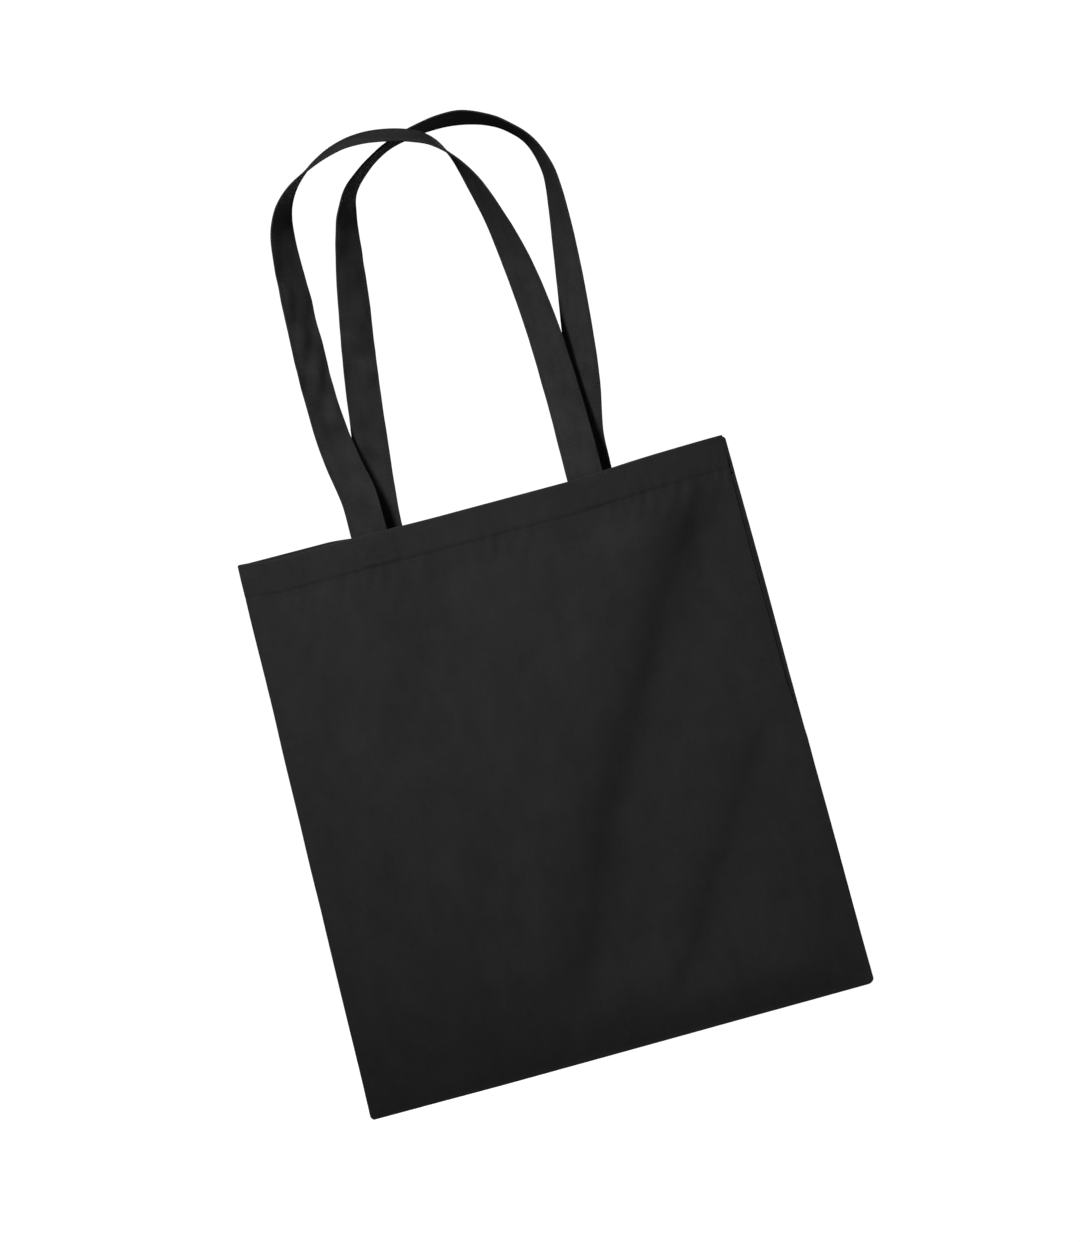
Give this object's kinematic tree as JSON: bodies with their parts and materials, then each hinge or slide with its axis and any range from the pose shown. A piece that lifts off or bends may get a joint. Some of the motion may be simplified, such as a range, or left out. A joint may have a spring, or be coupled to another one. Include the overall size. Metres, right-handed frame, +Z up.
{
  "type": "tote bag",
  "caption": "Flat open-top cloth shopping bag with a hemmed mouth and long strap handles sewn on with boxed crosses.",
  "frame": {"origin": "the point under both handle arches, on the bag's middle plane, where a hook or a hand carries the bag", "axes": "+X across the bag to the right seen from the front, -Y out of the front panel, +Z up from the base seam to the handles"},
  "size_m": [0.384, 0.0574, 0.7099],
  "materials": {
    "body_canvas": "matt black plain-weave cotton canvas",
    "strap_canvas": "matt black folded cotton canvas strap",
    "thread": "black spun sewing thread"
  },
  "bodies": {
    "bag": {"back_hem_stitch": "thread", "back_left_box_stitch": "thread", "back_left_strap_end": "strap_canvas", "back_panel": "body_canvas", "back_right_box_stitch": "thread", "back_right_strap_end": "strap_canvas", "back_top_hem": "body_canvas", "base_seam": "body_canvas", "base_seam_overlock": "thread", "front_hem_stitch": "thread", "front_left_box_stitch": "thread", "front_left_strap_end": "strap_canvas", "front_panel": "body_canvas", "front_right_box_stitch": "thread", "front_right_strap_end": "strap_canvas", "front_top_hem": "body_canvas", "left_seam_overlock": "thread", "left_side_seam": "body_canvas", "right_seam_overlock": "thread", "right_side_seam": "body_canvas"},
    "front_handle_loop": {"front_handle": "strap_canvas", "front_handle_inner_edge_stitch": "thread", "front_handle_outer_edge_stitch": "thread"},
    "back_handle_loop": {"back_handle": "strap_canvas", "back_handle_inner_edge_stitch": "thread", "back_handle_outer_edge_stitch": "thread"}
  },
  "joints": [
    {"name": "front_handle_swing", "type": "hinge", "parent": "bag", "child": "front_handle_loop", "pos_m": [0, -0.01355, -0.271], "axis": [1, 0, 0], "range_deg": [0, 160]},
    {"name": "back_handle_swing", "type": "hinge", "parent": "bag", "child": "back_handle_loop", "pos_m": [0, 0.01355, -0.271], "axis": [-1, 0, 0], "range_deg": [0, 160]}
  ]
}
